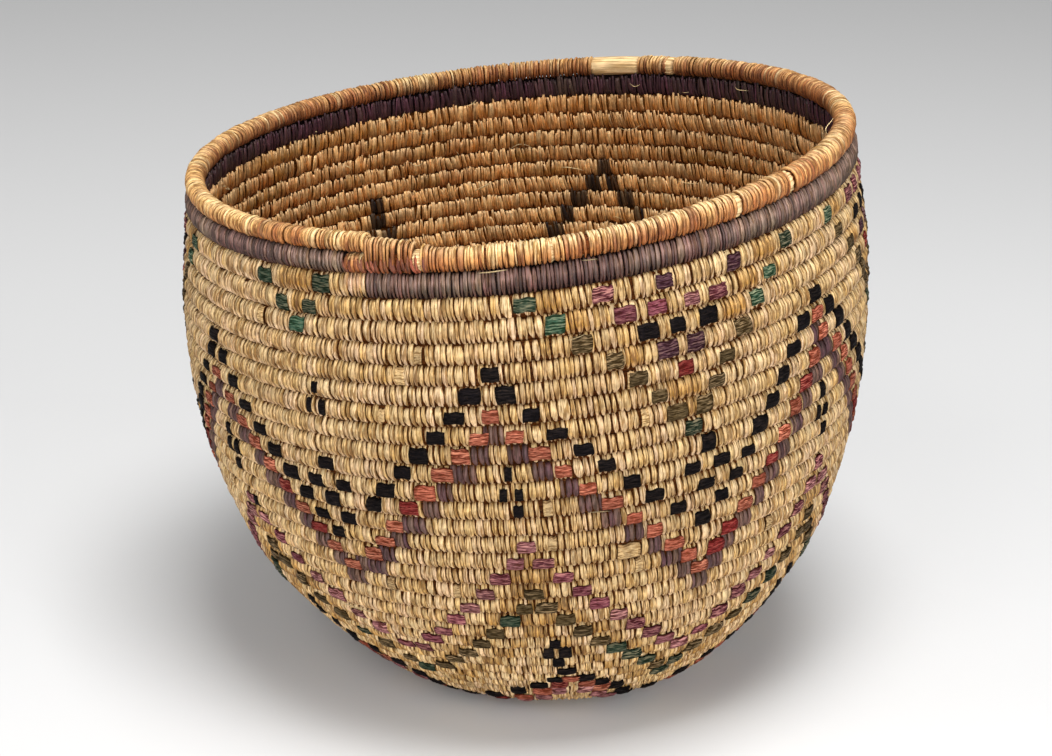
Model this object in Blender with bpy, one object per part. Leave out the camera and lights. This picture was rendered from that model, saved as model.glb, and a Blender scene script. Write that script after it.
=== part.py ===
# Coiled grass basket: one grass bundle wound as a spiral from the middle of the base up to the rim.
# Each turn of the spiral is its own solid, and its end meets the start of the next turn.
# Metres, +Z up. The origin is on the floor, under the middle of the basket's box; the front is at -Y.
import math

import bmesh
import bpy
import numpy as np

# Driving dimensions, in metres unless a name says otherwise
FLAT_RADIUS = 0.0620  # the flat part of the base, which stands on the floor
WALL_PROFILE = (  # radius and height of the outer face, from the edge of the flat base to above the rim
    (FLAT_RADIUS, 0.0),
    (0.0795, 0.0045),
    (0.0948, 0.0180),
    (0.1100, 0.0350),
    (0.1270, 0.0600),
    (0.1386, 0.0900),
    (0.1456, 0.1200),
    (0.1489, 0.1500),
    (0.1487, 0.1800),
    (0.1458, 0.2050),
    (0.1432, 0.2350),
    (0.1425, 0.2500),
)
BODY_HEIGHT = 0.235  # the height at which the lean, the oval, the lobes and the tilt reach their full size

WALL_THICKNESS = 0.0086  # across one coil, from the outer face to the inner
CONTACT_WIDTH = 0.0040  # the flat where a coil presses on its neighbour
GAP = 0.0003  # clearance between neighbouring solids
FLOOR_FLAT = 0.0036  # the flat on the underside of each base turn

TURN_COUNT = 38  # all the turns, the rim's included, without the tail
RIM_GROOVE = 0.3166  # length of the face from the middle of the base to the groove where the rim starts
COIL_PITCH = 0.00825  # one turn's height on most of the wall
PITCH_SWELL = 0.0012  # how much higher the turns grow towards the rim
SWELL_TURNS = 1.7  # over how many turns they do
RIM_CLIMB = (0.0119, -0.0039)  # rise of the rim's lower groove over its turn: straight and bending parts

SEAM_ANGLE = math.radians(-116.5)  # where every turn starts, seen from above: in front, left of the middle
RIM_HEIGHT = (0.0079, 0.0097)  # the rim coil at the seam, and where it is fullest
RIM_FILL = 0.08  # part of the turn over which the rim coil grows to its full height
RIM_WRAP = 0.0008  # thickness of the stitched wrapping on the rim's stems
BARE_STEMS = ((0.4875, 0.4925), (0.508, 0.535))  # the windows in the rim's wrapping, as parts of the turn
TAIL_LENGTH = 0.050  # part of a turn that the tapered end lies on
TAIL_TIP = 0.0016  # height of the tail where it ends
TAIL_THINNING = 0.45  # part of its thickness that the tail loses on the way
TAIL_STEPS = 5  # stretches the tail is made in

BASE_SHIFT = (0.0114, -0.0019)  # the base lies off the middle of the box, because the basket leans
LEAN = (-0.0165, 0.0045)  # sideways shift of the rim against the base
OVAL = (0.997, 0.982)  # depth over width, at the base and at the rim
MOUTH_LOBES = ((2, -0.0017, 0.0040), (3, 0.0015, 0.0170))  # waves around the mouth, in cosine and sine
TILT_RIGHT = (0.0231, -0.0053)  # rise of the rim to the right: straight and bending parts
TILT_BACK = (0.0013, -0.0041)  # the same to the back

SEGMENTS = ((0.032, 14), (1.0, 28))  # segments in one turn, for turns up to each radius
OUTLINE_STEP = 0.0015  # how far either side of a point the outer face's slope is read
RIM_SIDES = 8  # sides of the rim coil's section
SHARP_ANGLE = math.radians(35)  # edges that bend more than this stay sharp
RIM_END_GAP = GAP / 2 / (2 * math.pi * WALL_PROFILE[-1][0])  # half a gap at each of the rim's ends

STRAW = (0.72, 0.55, 0.26, 1.0)
PURPLE_BROWN = (0.13, 0.09, 0.095, 1.0)
ORANGE_BROWN = (0.61, 0.27, 0.07, 1.0)
BARE_GRASS = (0.80, 0.66, 0.36, 1.0)


def spline(points, steps=24):
    """Catmull-Rom curve through the points, level at the first one, where the wall leaves the floor."""
    points = np.array(points)
    before = (2 * points[0][0] - points[1][0], points[1][1])
    after = 2 * points[-1] - points[-2]
    cage = np.vstack([[before], points, [after]])
    t = np.linspace(0, 1, steps, endpoint=False)[:, None]
    parts = []
    for a, b, c, d in zip(cage, cage[1:], cage[2:], cage[3:]):
        slope = c - a
        bend = 2 * a - 5 * b + 4 * c - d
        twist = 3 * b - a - 3 * c + d
        parts.append(b + 0.5 * (slope * t + bend * t**2 + twist * t**3))
    return np.vstack([*parts, points[-1:]])


OUTLINE = np.vstack([[(0.0, 0.0)], spline(WALL_PROFILE)])
OUTLINE_LENGTH = np.concatenate([[0.0], np.cumsum(np.hypot(*np.diff(OUTLINE, axis=0).T))])


def on_outline(length, depth=0.0):
    """Radius and height at a length along the outer face, and at a depth under it, towards the inside."""
    here, ahead, behind = (
        np.array([np.interp(at, OUTLINE_LENGTH, OUTLINE[:, i]) for i in (0, 1)])
        for at in (length, length + OUTLINE_STEP, max(length - OUTLINE_STEP, 0.0))
    )
    along = (ahead - behind) / np.linalg.norm(ahead - behind)
    return here + depth * np.array([-along[1], along[0]])


def placed(radius_height, angle):
    """A point of the round, level basket moved to where the leaning, slightly uneven basket has it."""
    radius, height = radius_height
    up = height / BODY_HEIGHT
    for lobes, along_x, along_y in MOUTH_LOBES:
        radius *= 1 + up * up * (along_x * math.cos(lobes * angle) + along_y * math.sin(lobes * angle))
    x = radius * math.cos(angle) + BASE_SHIFT[0] + LEAN[0] * up
    y = radius * math.sin(angle) * (OVAL[0] + (OVAL[1] - OVAL[0]) * up) + BASE_SHIFT[1] + LEAN[1] * up
    rise = (TILT_RIGHT[0] * up + TILT_RIGHT[1] * up**3) * math.cos(angle)
    rise += (TILT_BACK[0] * up + TILT_BACK[1] * up**3) * math.sin(angle)
    return (x, y, height + rise)


def groove(turn):
    """Length along the outer face of the groove under the coil, at a number of turns from the start."""
    below = TURN_COUNT - 1 - turn
    if below < 0:
        return RIM_GROOVE - RIM_CLIMB[0] * below + RIM_CLIMB[1] * below**2
    swell = PITCH_SWELL * SWELL_TURNS * (1 - math.exp(-below / SWELL_TURNS))
    return RIM_GROOVE - COIL_PITCH * below - swell


def material(name, colour, roughness=0.8):
    made = bpy.data.materials.new(name)
    made.use_nodes = True
    shader = made.node_tree.nodes["Principled BSDF"]
    shader.inputs["Base Color"].default_value = colour
    shader.inputs["Roughness"].default_value = roughness
    shader.inputs["Metallic"].default_value = 0.0
    return made


def add_object(name, bm, finish, basket):
    bmesh.ops.recalc_face_normals(bm, faces=bm.faces)
    mesh = bpy.data.meshes.new(name)
    bm.to_mesh(mesh)
    bm.free()
    mesh.shade_smooth()
    mesh.set_sharp_from_angle(angle=SHARP_ANGLE)
    mesh.materials.append(finish)
    basket.objects.link(bpy.data.objects.new(name, mesh))


def loft(bm, sections, hole_sections=None):
    """Skin between sections of the same number of corners, with flat ends. A hole makes it a sleeve."""
    def skin(rings):
        for ring, following in zip(rings, rings[1:]):
            for i, corner in enumerate(ring):
                j = (i + 1) % len(ring)
                bm.faces.new((corner, ring[j], following[j], following[i]))

    outer = [[bm.verts.new(p) for p in section] for section in sections]
    skin(outer)
    if hole_sections is None:
        for end in (outer[0], outer[-1]):
            bm.faces.new(end)
        return
    inner = [[bm.verts.new(p) for p in section] for section in hole_sections]
    skin(inner)
    for end, hole in ((outer[0], inner[0]), (outer[-1], inner[-1])):
        skin([end, hole])


def turn_parts(segments, start, stop, extra=()):
    """Parts of a turn where sections stand: its two ends, and between them the places all turns share."""
    shared = sorted({*(i / segments for i in range(segments + 1)), *extra})
    return [start, *(part for part in shared if start < part < stop), stop]


def segments_at(radius):
    return next(count for limit, count in SEGMENTS if radius <= limit)


def angle_at(part):
    return SEAM_ANGLE + 2 * math.pi * part


def coil_section(turn, part, on_floor):
    """Corners of a plain coil: flats where it meets its neighbours, and a crest on each face of the wall."""
    low, high = groove(turn + part) + GAP / 2, groove(turn + part + 1) - GAP / 2
    near = (WALL_THICKNESS - CONTACT_WIDTH) / 2
    far = near + CONTACT_WIDTH
    middle = (low + high) / 2
    crest = [(middle, 0.0)]
    if on_floor:
        crest = [(middle - FLOOR_FLAT / 2, 0.0), (middle + FLOOR_FLAT / 2, 0.0)]
    corners = [(low, far), (low, near), *crest, (high, near), (high, far), (middle, WALL_THICKNESS)]
    return [placed(on_outline(*corner), angle_at(part)) for corner in corners]


def lies_on_floor(turn):
    return groove(turn + 2) < FLAT_RADIUS


def coil_turn(name, turn, finish, basket):
    radius = on_outline(groove(turn + 1))[0]
    segments = segments_at(radius)
    end_gap = GAP / 2 / (2 * math.pi * radius)
    parts = turn_parts(segments, end_gap, 1 - end_gap)
    bm = bmesh.new()
    loft(bm, [coil_section(turn, part, lies_on_floor(turn)) for part in parts])
    add_object(name, bm, finish, basket)


def rim_height(part):
    """Height of the rim coil: it swells after the seam, and thins again as the turn comes round to it."""
    fill = min(part / RIM_FILL, 1.0)
    fill = fill * fill * (3 - 2 * fill)
    return RIM_HEIGHT[0] + (RIM_HEIGHT[1] - RIM_HEIGHT[0]) * fill * (1 - part**3)


def octagon(low, height, thickness, shrink=0.0):
    """Lengths along the face, and depths, of an eight-sided coil that stands on a groove."""
    corners = []
    half_side = math.pi / RIM_SIDES
    reach = 1 / math.cos(half_side)
    for i in range(RIM_SIDES):
        turn = half_side * (2 * i + 1)
        along = low + height / 2 + (height / 2 - shrink) * reach * math.sin(turn)
        depth = thickness / 2 + (thickness / 2 - shrink) * reach * math.cos(turn)
        corners.append((along, depth))
    return corners


def rim_section(part, shrink=0.0):
    low = groove(TURN_COUNT - 1 + part) + GAP / 2
    height = rim_height(part) - GAP
    corners = octagon(low, height, height, shrink)
    return [placed(on_outline(*corner), angle_at(part)) for corner in corners]


def rim_parts(start, stop):
    """The stems and the wrapping bend at the same places, so that one stays clear inside the other."""
    return turn_parts(SEGMENTS[-1][1], start, stop, [edge for window in BARE_STEMS for edge in window])


def rim_stems(basket):
    """The bare foundation that runs inside the rim's wrapping."""
    bm = bmesh.new()
    loft(bm, [rim_section(part, RIM_WRAP + GAP) for part in rim_parts(RIM_END_GAP, 1 - RIM_END_GAP)])
    add_object("rim_stems", bm, material("bare_grass", BARE_GRASS), basket)


def rim_wrap(name, start, stop, finish, basket):
    """One wrapped stretch of the rim: a sleeve around the stems, open at both ends."""
    bm = bmesh.new()
    parts = rim_parts(start, stop)
    loft(bm, [rim_section(part) for part in parts], [rim_section(part, RIM_WRAP) for part in parts])
    add_object(name, bm, finish, basket)


def rim_tail(finish, basket):
    """The tapered end of the bundle, laid down on the start of the rim."""
    sections = []
    for i in range(TAIL_STEPS + 1):
        along = i / TAIL_STEPS
        part = TAIL_LENGTH * along + RIM_END_GAP
        low = groove(TURN_COUNT - 1 + part) + rim_height(part) + GAP / 2
        height = RIM_HEIGHT[0] + (TAIL_TIP - RIM_HEIGHT[0]) * along
        corners = octagon(low, height, RIM_HEIGHT[0] * (1 - TAIL_THINNING * along))
        sections.append([placed(on_outline(*corner), angle_at(part)) for corner in corners])
    bm = bmesh.new()
    loft(bm, sections)
    add_object("rim_tail", bm, finish, basket)


def start_knot(finish, basket):
    """The button in the middle of the base. Its outline is a snail, as the first turn winds away from it."""
    end_gap = GAP / (2 * math.pi * groove(0.0))
    parts = turn_parts(segments_at(groove(1.0)), 0.0, 1 - end_gap)
    near = (WALL_THICKNESS - CONTACT_WIDTH) / 2
    rings = []
    for depth, inset in ((0.0, near), (near, 0.0), (near + CONTACT_WIDTH, 0.0), (WALL_THICKNESS, near)):
        reach = GAP / 2 + inset
        rings.append([placed(on_outline(groove(part) - reach, depth), angle_at(part)) for part in parts])
    bm = bmesh.new()
    loft(bm, rings)
    add_object("start_knot", bm, finish, basket)


def build():
    for old in list(bpy.data.objects):
        bpy.data.objects.remove(old)
    basket = bpy.data.collections.new("coiled_grass_basket")
    bpy.context.scene.collection.children.link(basket)

    straw = material("straw_coil", STRAW)
    orange = material("orange_rim", ORANGE_BROWN)
    start_knot(straw, basket)
    base_count = sum(lies_on_floor(turn) for turn in range(TURN_COUNT))
    for turn in range(TURN_COUNT - 2):
        number = turn + 1 - (0 if lies_on_floor(turn) else base_count)
        place = "base" if lies_on_floor(turn) else "wall"
        coil_turn(f"{place}_turn_{number:02d}", turn, straw, basket)
    coil_turn("purple_turn", TURN_COUNT - 2, material("purple_coil", PURPLE_BROWN), basket)

    rim_stems(basket)
    edges = [RIM_END_GAP, *(edge for window in BARE_STEMS for edge in window), 1 - RIM_END_GAP]
    for place, start, stop in zip(("right", "bridge", "left"), edges[::2], edges[1::2]):
        rim_wrap(f"rim_wrap_{place}", start, stop, orange, basket)
    rim_tail(orange, basket)


build()
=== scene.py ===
import math

import bmesh
import bpy
import numpy as np
from mathutils import Matrix, Vector


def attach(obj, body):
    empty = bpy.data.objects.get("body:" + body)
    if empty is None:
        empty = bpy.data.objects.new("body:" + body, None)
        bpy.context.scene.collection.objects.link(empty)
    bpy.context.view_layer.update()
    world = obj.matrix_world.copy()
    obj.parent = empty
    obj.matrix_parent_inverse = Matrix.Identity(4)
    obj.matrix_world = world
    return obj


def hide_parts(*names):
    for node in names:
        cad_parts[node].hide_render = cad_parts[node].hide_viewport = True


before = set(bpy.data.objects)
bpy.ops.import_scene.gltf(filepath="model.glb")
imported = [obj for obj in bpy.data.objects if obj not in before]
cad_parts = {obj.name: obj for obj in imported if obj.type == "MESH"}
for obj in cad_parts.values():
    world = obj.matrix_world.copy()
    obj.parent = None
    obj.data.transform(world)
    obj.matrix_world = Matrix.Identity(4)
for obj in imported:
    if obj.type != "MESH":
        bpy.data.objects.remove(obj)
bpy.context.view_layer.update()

# The spiral as the coils are packed. Turn 0 starts beside the knot in the base, and turn 37 is the rim.
spiral = {
    "wallProfile": (  # radius and height of the outer face, from the edge of the flat base
        (0.0620, 0.0), (0.0795, 0.0045), (0.0948, 0.0180), (0.1100, 0.0350), (0.1270, 0.0600),
        (0.1386, 0.0900), (0.1456, 0.1200), (0.1489, 0.1500), (0.1487, 0.1800), (0.1458, 0.2050),
        (0.1432, 0.2350), (0.1425, 0.2500),
    ),
    "bodyHeight": 0.235,
    "rimTurn": 37,
    "rimGroove": 0.3166,  # along the face, from the middle of the base to where the rim starts
    "pitch": 0.00825,  # height of one turn on most of the wall
    "pitchSwell": 0.0012,
    "swellTurns": 1.7,
    "rimClimb": (0.0119, -0.0039),
    "seamDegrees": -116.5,  # where every turn starts; the front is at -90
    "thickness": 0.0086,
    "rimHeight": (0.0079, 0.0097),
    "rimFill": 0.035,
    "tailLength": 0.037,  # part of a turn that the tapered end lies on
    "tailTip": 0.0016,
    "flatTurns": 5,  # turns in the flat base
    "knotStart": -0.97,  # the first stitches go round the knot
    "floorGap": 0.00003,  # keeps the base out of the floor's plane
    "baseShift": (0.0114, -0.0019),
    "lean": (-0.0165, 0.0045),
    "oval": (0.997, 0.982),
    "lobes": ((2, -0.0017, 0.0040), (3, 0.0015, 0.0170)),
    "tiltRight": (0.0231, -0.0053),
    "tiltBack": (0.0013, -0.0041),
}
rimTurn = spiral["rimTurn"]


def wallCurve(stepsPerStretch=24):
    # the outer face as a smooth line of radius and height, with the length along it
    knots = np.array(spiral["wallProfile"])
    before = (2 * knots[0][0] - knots[1][0], knots[1][1])
    cage = np.vstack([[before], knots, [2 * knots[-1] - knots[-2]]])
    t = np.linspace(0, 1, stepsPerStretch, endpoint=False)[:, None]
    line = [np.zeros((1, 2))]
    for a, b, c, d in zip(cage, cage[1:], cage[2:], cage[3:]):
        bend = (2 * a - 5 * b + 4 * c - d) * t**2 + (3 * b - a - 3 * c + d) * t**3
        line.append(b + 0.5 * ((c - a) * t + bend))
    line = np.vstack([*line, knots[-1:]])
    return line, np.concatenate([[0.0], np.cumsum(np.hypot(*np.diff(line, axis=0).T))])


faceLine, faceLength = wallCurve()


def grooveAt(turn):
    # Length along the face of the groove under the coil, for any number of turns from the start.
    below = rimTurn - np.asarray(turn, float)
    rise, bend = spiral["rimClimb"]
    onRim = spiral["rimGroove"] - rise * below + bend * below**2
    fade = 1 - np.exp(-np.maximum(below, 0) / spiral["swellTurns"])
    swell = spiral["pitchSwell"] * spiral["swellTurns"] * fade
    return np.where(below < 0, onRim, spiral["rimGroove"] - spiral["pitch"] * below - swell)


def rimHeightAt(turn):
    part = np.clip(np.asarray(turn, float) - rimTurn, 0, 1)
    fill = np.clip(part / spiral["rimFill"], 0, 1)
    low, high = spiral["rimHeight"]
    return low + (high - low) * fill * fill * (3 - 2 * fill) * (1 - part**3)


def coilHeightAt(turn):
    turn = np.asarray(turn, float)
    return np.where(turn < rimTurn, grooveAt(turn + 1) - grooveAt(turn), rimHeightAt(turn))


def metresAround(turn):
    # How far one turn of the spiral goes round, at any place on it.
    return 2 * math.pi * np.interp(grooveAt(np.asarray(turn, float) + 0.5), faceLength, faceLine[:, 0])


def intoPlace(turn, rise, depth):
    # x, y and z of points given by turn, metres above its lower groove and metres in from the outer face.
    turn, rise, depth = np.broadcast_arrays(*(np.asarray(a, float) for a in (turn, rise, depth)))
    length, step = grooveAt(turn) + rise, 0.0015
    radius, height = (np.interp(length, faceLength, faceLine[:, i]) for i in (0, 1))
    ahead, behind = length + step, np.maximum(length - step, 0)
    alongRadius, alongHeight = (
        np.interp(ahead, faceLength, faceLine[:, i]) - np.interp(behind, faceLength, faceLine[:, i])
        for i in (0, 1)
    )
    reach = np.hypot(alongRadius, alongHeight)
    radius, height = radius - depth * alongHeight / reach, height + depth * alongRadius / reach
    angle = math.radians(spiral["seamDegrees"]) + 2 * math.pi * turn
    up = height / spiral["bodyHeight"]
    for count, alongX, alongY in spiral["lobes"]:
        radius = radius * (1 + up * up * (alongX * np.cos(count * angle) + alongY * np.sin(count * angle)))
    (shiftX, shiftY), (leanX, leanY) = spiral["baseShift"], spiral["lean"]
    ovalLow, ovalHigh = spiral["oval"]
    right, back = (tilt[0] * up + tilt[1] * up**3 for tilt in (spiral["tiltRight"], spiral["tiltBack"]))
    tilted = height + right * np.cos(angle) + back * np.sin(angle)
    return np.stack([
        radius * np.cos(angle) + shiftX + leanX * up,
        radius * np.sin(angle) * (ovalLow + (ovalHigh - ovalLow) * up) + shiftY + leanY * up,
        np.maximum(tilted, spiral["floorGap"]),
    ], axis=-1)


def turnOn(row, degrees):
    # The turn at a row counted down from the rim and at degrees from the front, positive to the right.
    return rimTurn - row + ((np.asarray(degrees, float) - 90 - spiral["seamDegrees"]) / 360) % 1.0


def linear(hexColour):
    # A colour picked as hex, as the linear values that Blender's sockets take.
    channels = [int(hexColour[i:i + 2], 16) / 255 for i in (0, 2, 4)]
    return np.array([c / 12.92 if c <= 0.04045 else ((c + 0.055) / 1.055) ** 2.4 for c in channels] + [1.0])


def wander(places, seed, least=0.0, most=1.0):
    # A value that drifts smoothly along the places, one knot for each whole number.
    knots = np.random.default_rng(seed).uniform(least, most, 4000)
    return np.interp(np.asarray(places, float) % 3999, np.arange(4000), knots)


def squared(wave, power):
    # A sine or cosine made squarer, for a coil that is fuller than a circle.
    return np.sign(wave) * np.abs(wave) ** power


def blend(colour, dye, share):
    return colour * (1 - share) + dyes[dye] * share


def dyeSome(colours, chance, odds, dye, share):
    # Gives a random few of the stitches a share of another dye.
    chosen = chance.uniform(0, 1, len(colours)) < odds
    colours[chosen] = blend(colours[chosen], dye, share)


def grainMap(chance, across, along):
    # The UV map of stitches or strips. Each one lies on its own place in the grain.
    offset = chance.uniform(0, 60, (len(across), 1, 2))
    return np.stack([across + offset[..., 0], along + offset[..., 1]], -1)


def plainLie(like):
    # The lie of a piece with no edges, ends, wear or painted sheen: its middle everywhere.
    return np.stack([0 * like, 0.5 + 0 * like, 0 * like], -1)


def axesOf(shape):
    # The x, y and z of a workbench shape's corners, each as one row to spread over the copies.
    return shape["points"].T[:, None]


# Materials

dyes = {
    # the stitches outside, round the rim and inside
    "straw": "b09264", "paleStraw": "c7ad86", "tanStraw": "9e7547", "brownStraw": "7d5934",
    "goldStraw": "aa823c", "pinkStraw": "bd9d86", "gold": "96681f", "cream": "f3dda6",
    "orange": "aa682e", "honey": "e0b06a", "russet": "8d4820", "darkRusset": "6a2f18",
    "purpleBrown": "5f3a34", "greyBrown": "8c7a5e", "innerPurple": "583240", "greyPurple": "45242c",
    "innerGold": "f6c684", "innerBrown": "cb8438", "innerBlack": "150a0e",
    # the dyed strips
    "black": "09060a", "rust": "864434", "wine": "6c1f20", "plum": "602c3a", "fadedPlum": "70434a",
    "aubergine": "3a1f2e", "green": "1e3126", "teal": "254536", "olive": "40341f",
    # paler ends, painted highlights on the tips and tops, the stems between the stitches painted dark as
    # shade, bare grass, and the pale of wear with a painted sheen
    "pinkTip": "e2c3a2", "innerTipHighlight": "fbdaa8", "rimTip": "fbe4b0", "mauveHighlight": "b8968a",
    "rimStemShade": "6a3410", "bareStem": "e6c593", "stemShade": "4a2508", "innerStem": "74451a",
    "wornAndSheen": "d9b48c",
}
dyes = {name: linear(code) for name, code in dyes.items()}


def newGroup(name, inputs, outputs):
    group = bpy.data.node_groups.new(name, "ShaderNodeTree")
    for label, kind, value in inputs:
        socket = group.interface.new_socket(name=label, in_out="INPUT", socket_type=kind)
        if value is not None:
            socket.default_value = value
    for label, kind in outputs:
        group.interface.new_socket(name=label, in_out="OUTPUT", socket_type=kind)
    return group, group.nodes.new("NodeGroupInput"), group.nodes.new("NodeGroupOutput")


def node(tree, kind, settings=(), **inputs):
    # One node, with its settings and its inputs by name or place. An input that is a socket gets linked.
    made = tree.nodes.new(kind)
    for key, value in dict(settings).items():
        setattr(made, key, value)
    for key, value in inputs.items():
        socket = made.inputs[int(key[1:])] if key[0] == "i" and key[1:].isdigit() else made.inputs[key]
        if isinstance(value, bpy.types.NodeSocket):
            tree.links.new(value, socket)
        else:
            socket.default_value = value
    return made


def mathNode(tree, operation, a, b=0.0, clamp=False):
    return node(tree, "ShaderNodeMath", {"operation": operation, "use_clamp": clamp}, i0=a, i1=b).outputs[0]


def mixColour(tree, factor, a, b, how="MIX"):
    settings = {"data_type": "RGBA", "blend_type": how}
    return node(tree, "ShaderNodeMix", settings, i0=factor, i6=a, i7=b).outputs[2]


def scaled(tree, colour, factor):
    return node(tree, "ShaderNodeVectorMath", {"operation": "SCALE"}, Vector=colour, Scale=factor).outputs[0]


def mapped(tree, value, low, high, toLow, toHigh, soft=False):
    # The stretch from low to high of a value, as toLow to toHigh.
    settings = {"interpolation_type": "SMOOTHSTEP"} if soft else ()
    return node(tree, "ShaderNodeMapRange", settings, Value=value, i1=low, i2=high, i3=toLow,
                i4=toHigh).outputs[0]


def cloud(tree, vector, scale, detail, **more):
    return node(tree, "ShaderNodeTexNoise", {"noise_dimensions": "2D"}, Vector=vector, Scale=scale,
                Detail=detail, **more).outputs[0]


def buildSplintGroup():
    # Split grass: lengthwise fibres, a few dark flecks, a painted highlight towards the edges, painted shade
    # at the very edges and the ends, and worn dye with a painted sheen.
    group, given, result = newGroup("SplintGrain", [
        ("Along", "NodeSocketVector", None), ("Lie", "NodeSocketVector", None),
        ("Dye", "NodeSocketColor", (0.7, 0.5, 0.2, 1)), ("Fibre", "NodeSocketFloat", 0.5),
        ("Grime", "NodeSocketFloat", 0.5), ("Flecks", "NodeSocketFloat", 0.3),
        ("Fade", "NodeSocketFloat", 0.0), ("Edge", "NodeSocketFloat", 0.0),
    ], [("Colour", "NodeSocketColor"), ("Roughness", "NodeSocketFloat"), ("Height", "NodeSocketFloat")])
    along, lieOf, dye, fibre, grime, flecks, fade, edgeHighlight = given.outputs[:8]
    stretched = node(group, "ShaderNodeVectorMath", {"operation": "MULTIPLY"}, i0=along,
                     i1=(1.0, 0.10, 1.0)).outputs[0]
    strands = cloud(group, stretched, 1.35, 2.5, Roughness=0.6)
    blotch = cloud(group, along, 0.45, 2.0)
    fleck = cloud(group, along, 1.3, 2.0, Roughness=0.6)
    # dark lengthwise fibres, light and dark blotches, and flecks
    shade = mathNode(group, "MULTIPLY", mapped(group, strands, 0.42, 0.52, 1.0, 0.0), fibre)
    coloured = mixColour(group, shade, dye, (0.34, 0.24, 0.08, 1), "MULTIPLY")
    coloured = scaled(group, coloured, mapped(group, blotch, 0.35, 0.70, 0.80, 1.18))
    spots = mathNode(group, "MULTIPLY", mapped(group, fleck, 0.64, 0.70, 0.0, 1.0), flecks)
    coloured = mixColour(group, spots, coloured, (0.16, 0.08, 0.03, 1))
    # a painted highlight towards the edges, and painted shade at the very edge and at the ends, where the
    # stitches tuck in
    lie = node(group, "ShaderNodeSeparateXYZ", Vector=lieOf)
    across = mathNode(group, "ABSOLUTE", lie.outputs[0])
    rim = mapped(group, across, 0.25, 0.75, 0.0, 1.0, soft=True)
    rim = mathNode(group, "ADD", mathNode(group, "MULTIPLY", rim, edgeHighlight), 1.0)
    coloured = scaled(group, coloured, rim)
    edge = mathNode(group, "POWER", across, 6.0)
    middle = mathNode(group, "SUBTRACT", mathNode(group, "MULTIPLY", lie.outputs[1], 2.0), 1.0)
    ends = mathNode(group, "POWER", mathNode(group, "ABSOLUTE", middle), 5.0)
    shadedParts = mathNode(group, "MAXIMUM", mathNode(group, "MULTIPLY", edge, 0.6), ends)
    shadeMask = mathNode(group, "MULTIPLY", shadedParts, grime, clamp=True)
    coloured = mixColour(group, shadeMask, coloured, (0.33, 0.19, 0.07, 1), "MULTIPLY")
    # the dye worn off between the fibres, and on creased strips a painted sheen on the crests
    wearAndSheen = mathNode(group, "MULTIPLY", lie.outputs[2], mapped(group, strands, 0.49, 0.60, 0.0, 1.0))
    wearAndSheen = mathNode(group, "MULTIPLY", wearAndSheen, fade, clamp=True)
    faded = mixColour(group, 0.35, scaled(group, dye, 3.0), tuple(dyes["wornAndSheen"]))
    coloured = mixColour(group, wearAndSheen, coloured, faded)
    rough = mapped(group, strands, 0.3, 0.7, 0.72, 0.50)
    for value, label in ((coloured, "Colour"), (rough, "Roughness"), (strands, "Height")):
        group.links.new(value, result.inputs[label])
    return group


splintGroup = buildSplintGroup()


def splintMaterial(name, fibre, grime, flecks, bump, specular=0.35, fade=0.0, edge=0.0):
    # A stitch or a strip. Its dye comes from the piece's own attribute, and its grain runs along its UV map.
    made = bpy.data.materials.new(name)
    made.use_nodes = True
    tree = made.node_tree
    shader = tree.nodes["Principled BSDF"]
    along = node(tree, "ShaderNodeUVMap", {"uv_map": "Along"}).outputs[0]
    lie = node(tree, "ShaderNodeAttribute", {"attribute_name": "Lie"}).outputs["Vector"]
    dye = node(tree, "ShaderNodeAttribute", {"attribute_name": "Dye"}).outputs["Color"]
    grain = node(tree, "ShaderNodeGroup", {"node_tree": splintGroup}, Along=along, Lie=lie, Dye=dye,
                 Fibre=fibre, Grime=grime, Flecks=flecks, Fade=fade, Edge=edge)
    relief = node(tree, "ShaderNodeBump", Strength=bump, Distance=0.0004, Height=grain.outputs["Height"])
    tree.links.new(grain.outputs["Colour"], shader.inputs["Base Color"])
    tree.links.new(grain.outputs["Roughness"], shader.inputs["Roughness"])
    tree.links.new(relief.outputs[0], shader.inputs["Normal"])
    shader.inputs["Specular IOR Level"].default_value = specular
    return made


# Each material: fibre, painted shade at the edges and ends, flecks and bump; edge is a painted highlight
# towards a stitch's edges, and fade the worn dye with a painted sheen on a strip's creases
strawSplint = splintMaterial("straw_splint", 0.90, 0.5, 0.30, bump=0.8, specular=0.40, edge=0.25)
rimSplint = splintMaterial("rim_splint", 0.90, 0.6, 0.40, bump=0.8, specular=0.40, edge=0.15)
purpleSplint = splintMaterial("purple_splint", 0.90, 0.9, 0.35, bump=0.8, specular=0.5, edge=0.60)
innerSplint = splintMaterial("inner_splint", 0.60, 0.3, 0.35, bump=0.8, edge=0.40)
dyedStrip = splintMaterial("dyed_strip", 0.85, 0.35, 0.10, bump=1.0, specular=0.05, fade=1.0)
grassBundle = splintMaterial("grass_bundle", 0.8, 0.0, 0.5, bump=0.9, specular=0.05)
bareStems = splintMaterial("bare_stems", 0.65, 0.0, 0.1, bump=0.9, specular=0.12)
looseFibre = splintMaterial("loose_fibre", 0.4, 0.2, 0.1, bump=0.3)
print("materials made")


# Workbench shapes: each is made straight, and then copied and bent onto the coils

def straightRod(sides, steps, places=None):
    # A closed rod: x across and y up at most half a unit from its middle, and z from 0 to 1 along it.
    bm = bmesh.new()
    bmesh.ops.create_cone(bm, cap_ends=True, segments=sides, radius1=0.5, radius2=0.5, depth=1.0)
    bmesh.ops.translate(bm, verts=bm.verts, vec=(0, 0, 0.5))
    lengthwise = [e for e in bm.edges if abs(e.verts[0].co.z - e.verts[1].co.z) > 0.5]
    if steps > 1:
        bmesh.ops.subdivide_edges(bm, edges=lengthwise, cuts=steps - 1)
    if places is not None:
        for v in bm.verts:
            v.co.z = float(np.interp(v.co.z, np.linspace(0, 1, steps + 1), places))
    bmesh.ops.recalc_face_normals(bm, faces=bm.faces)
    return asShape(bm)


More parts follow.
